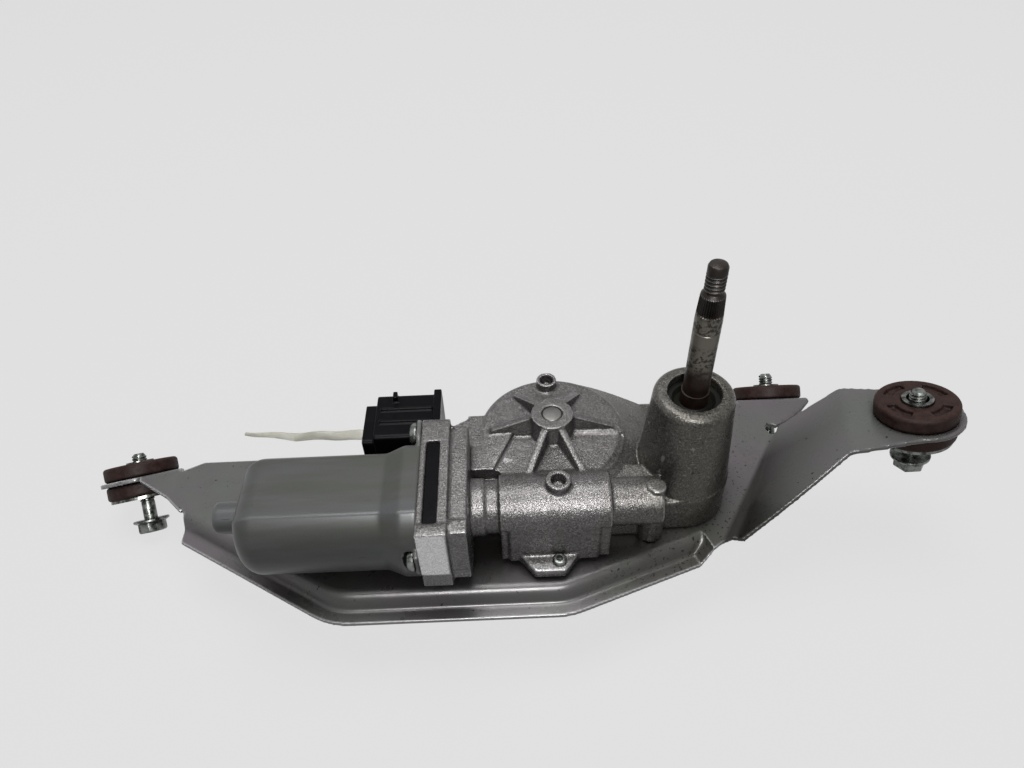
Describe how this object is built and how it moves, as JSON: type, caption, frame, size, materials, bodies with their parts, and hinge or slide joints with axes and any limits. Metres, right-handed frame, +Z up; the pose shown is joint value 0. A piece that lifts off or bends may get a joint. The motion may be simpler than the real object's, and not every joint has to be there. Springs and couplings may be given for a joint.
{
  "type": "wiper motor",
  "caption": "Rear wiper motor: drawn yoke, cast gear case with tall shaft snout, crank and sector gears inside, on a pressed three-point bracket with rubber grommets.",
  "frame": {"origin": "where the output shaft's axis meets the top face of the bracket plate", "axes": "+X along the motor, away from its rear end; +Y to the back edge of the bracket; +Z up the output shaft"},
  "size_m": [0.3037, 0.1082, 0.1256],
  "materials": {
    "zinc_steel": "zinc-plated pressed steel, dull grey",
    "cast_aluminium": "sand-rough die-cast aluminium, oily grey",
    "yoke_steel": "drawn steel with a dull grey-green passivation",
    "fastener_steel": "zinc-plated steel",
    "grommet_rubber": "brown rubber, matt",
    "shaft_steel": "dark steel with a film of rust",
    "black_plastic": "black, slightly rough",
    "natural_nylon": "off-white nylon",
    "gear_plastic": "moulded gear plastic",
    "brass": "plain brass",
    "bronze": "sintered bronze",
    "copper": "copper",
    "ferrite": "sintered ferrite",
    "electrical_steel": "stacked laminations",
    "carbon": "carbon",
    "bright_steel": "ground steel",
    "black_rubber": "black rubber"
  },
  "bodies": {
    "housing": {"mounting_bracket": "zinc_steel", "gear_case": "cast_aluminium", "gear_cover": "zinc_steel", "gear_cover_gasket": "black_rubber", "case_screws": "fastener_steel", "lug_screw": "fastener_steel", "motor_yoke": "yoke_steel", "yoke_screws": "fastener_steel", "magnets": "ferrite", "rear_bearing": "bronze", "front_bearing": "bronze", "end_bearing": "bronze", "thrust_pad": "black_plastic", "brush_holder": "black_plastic", "brushes": "carbon", "brush_springs": "bright_steel", "park_contacts": "brass", "connector_housing": "black_plastic", "connector_pins": "brass", "cable_tie": "natural_nylon", "wheel_axle": "bright_steel", "lower_bush": "bronze", "upper_bush": "bronze", "shaft_seal": "black_rubber", "grommet_left": "grommet_rubber", "collar_left": "fastener_steel", "grommet_middle": "grommet_rubber", "collar_middle": "fastener_steel", "grommet_right": "grommet_rubber", "collar_right": "fastener_steel"},
    "armature": {"armature_shaft": "bright_steel", "armature_core": "electrical_steel", "armature_winding": "copper", "commutator": "copper"},
    "wheel": {"worm_wheel": "gear_plastic", "contact_plate": "brass"},
    "lever": {"holding_lever": "bright_steel", "lever_pin": "bright_steel"},
    "link": {"sector_link": "bright_steel", "crank_pin": "bright_steel"},
    "output": {"output_shaft": "shaft_steel", "output_pinion": "bright_steel", "shaft_washer": "bright_steel"},
    "bolt_left": {"bolt_left": "fastener_steel"},
    "bolt_middle": {"bolt_middle": "fastener_steel"},
    "bolt_right": {"bolt_right": "fastener_steel"}
  },
  "joints": [
    {"name": "armature_spin", "type": "hinge", "parent": "housing", "child": "armature", "pos_m": [-0.115, -0.017, 0.0184], "axis": [1, 0, 0], "continuous": true},
    {"name": "worm_wheel_spin", "type": "hinge", "parent": "housing", "child": "wheel", "pos_m": [-0.0424, 0.0097, 0.017], "axis": [0, 0, 1], "continuous": true},
    {"name": "output_swing", "type": "hinge", "parent": "housing", "child": "output", "pos_m": [0, 0, 0.02], "axis": [0, 0, 1], "range_deg": [-165.07, 0]},
    {"name": "lever_swing", "type": "hinge", "parent": "housing", "child": "lever", "pos_m": [0, 0, 0.0107], "axis": [0, 0, 1], "range_deg": [-65.46, 0]},
    {"name": "link_swing", "type": "hinge", "parent": "lever", "child": "link", "pos_m": [-0.01202, 0.00872, 0.007], "axis": [0, 0, 1], "range_deg": [0, 73.42]},
    {"name": "bolt_left_slide", "type": "slide", "parent": "housing", "child": "bolt_left", "axis": [-0.1695, 0.7114, 0.682], "range_m": [0, 0.008]},
    {"name": "bolt_middle_slide", "type": "slide", "parent": "housing", "child": "bolt_middle", "axis": [0, 0.7314, 0.682], "range_m": [-0.0015, 0.0065]},
    {"name": "bolt_right_slide", "type": "slide", "parent": "housing", "child": "bolt_right", "axis": [-0.105, 0.246, 0.9636], "range_m": [0, 0.008]}
  ],
  "couplings": [
    {"joint": "worm_wheel_spin", "follows": "armature_spin", "ratio": -0.018519},
    {"joint": "lever_swing", "follows": "output_swing", "ratio": 0.39647},
    {"joint": "link_swing", "follows": "output_swing", "ratio": -0.44471}
  ]
}
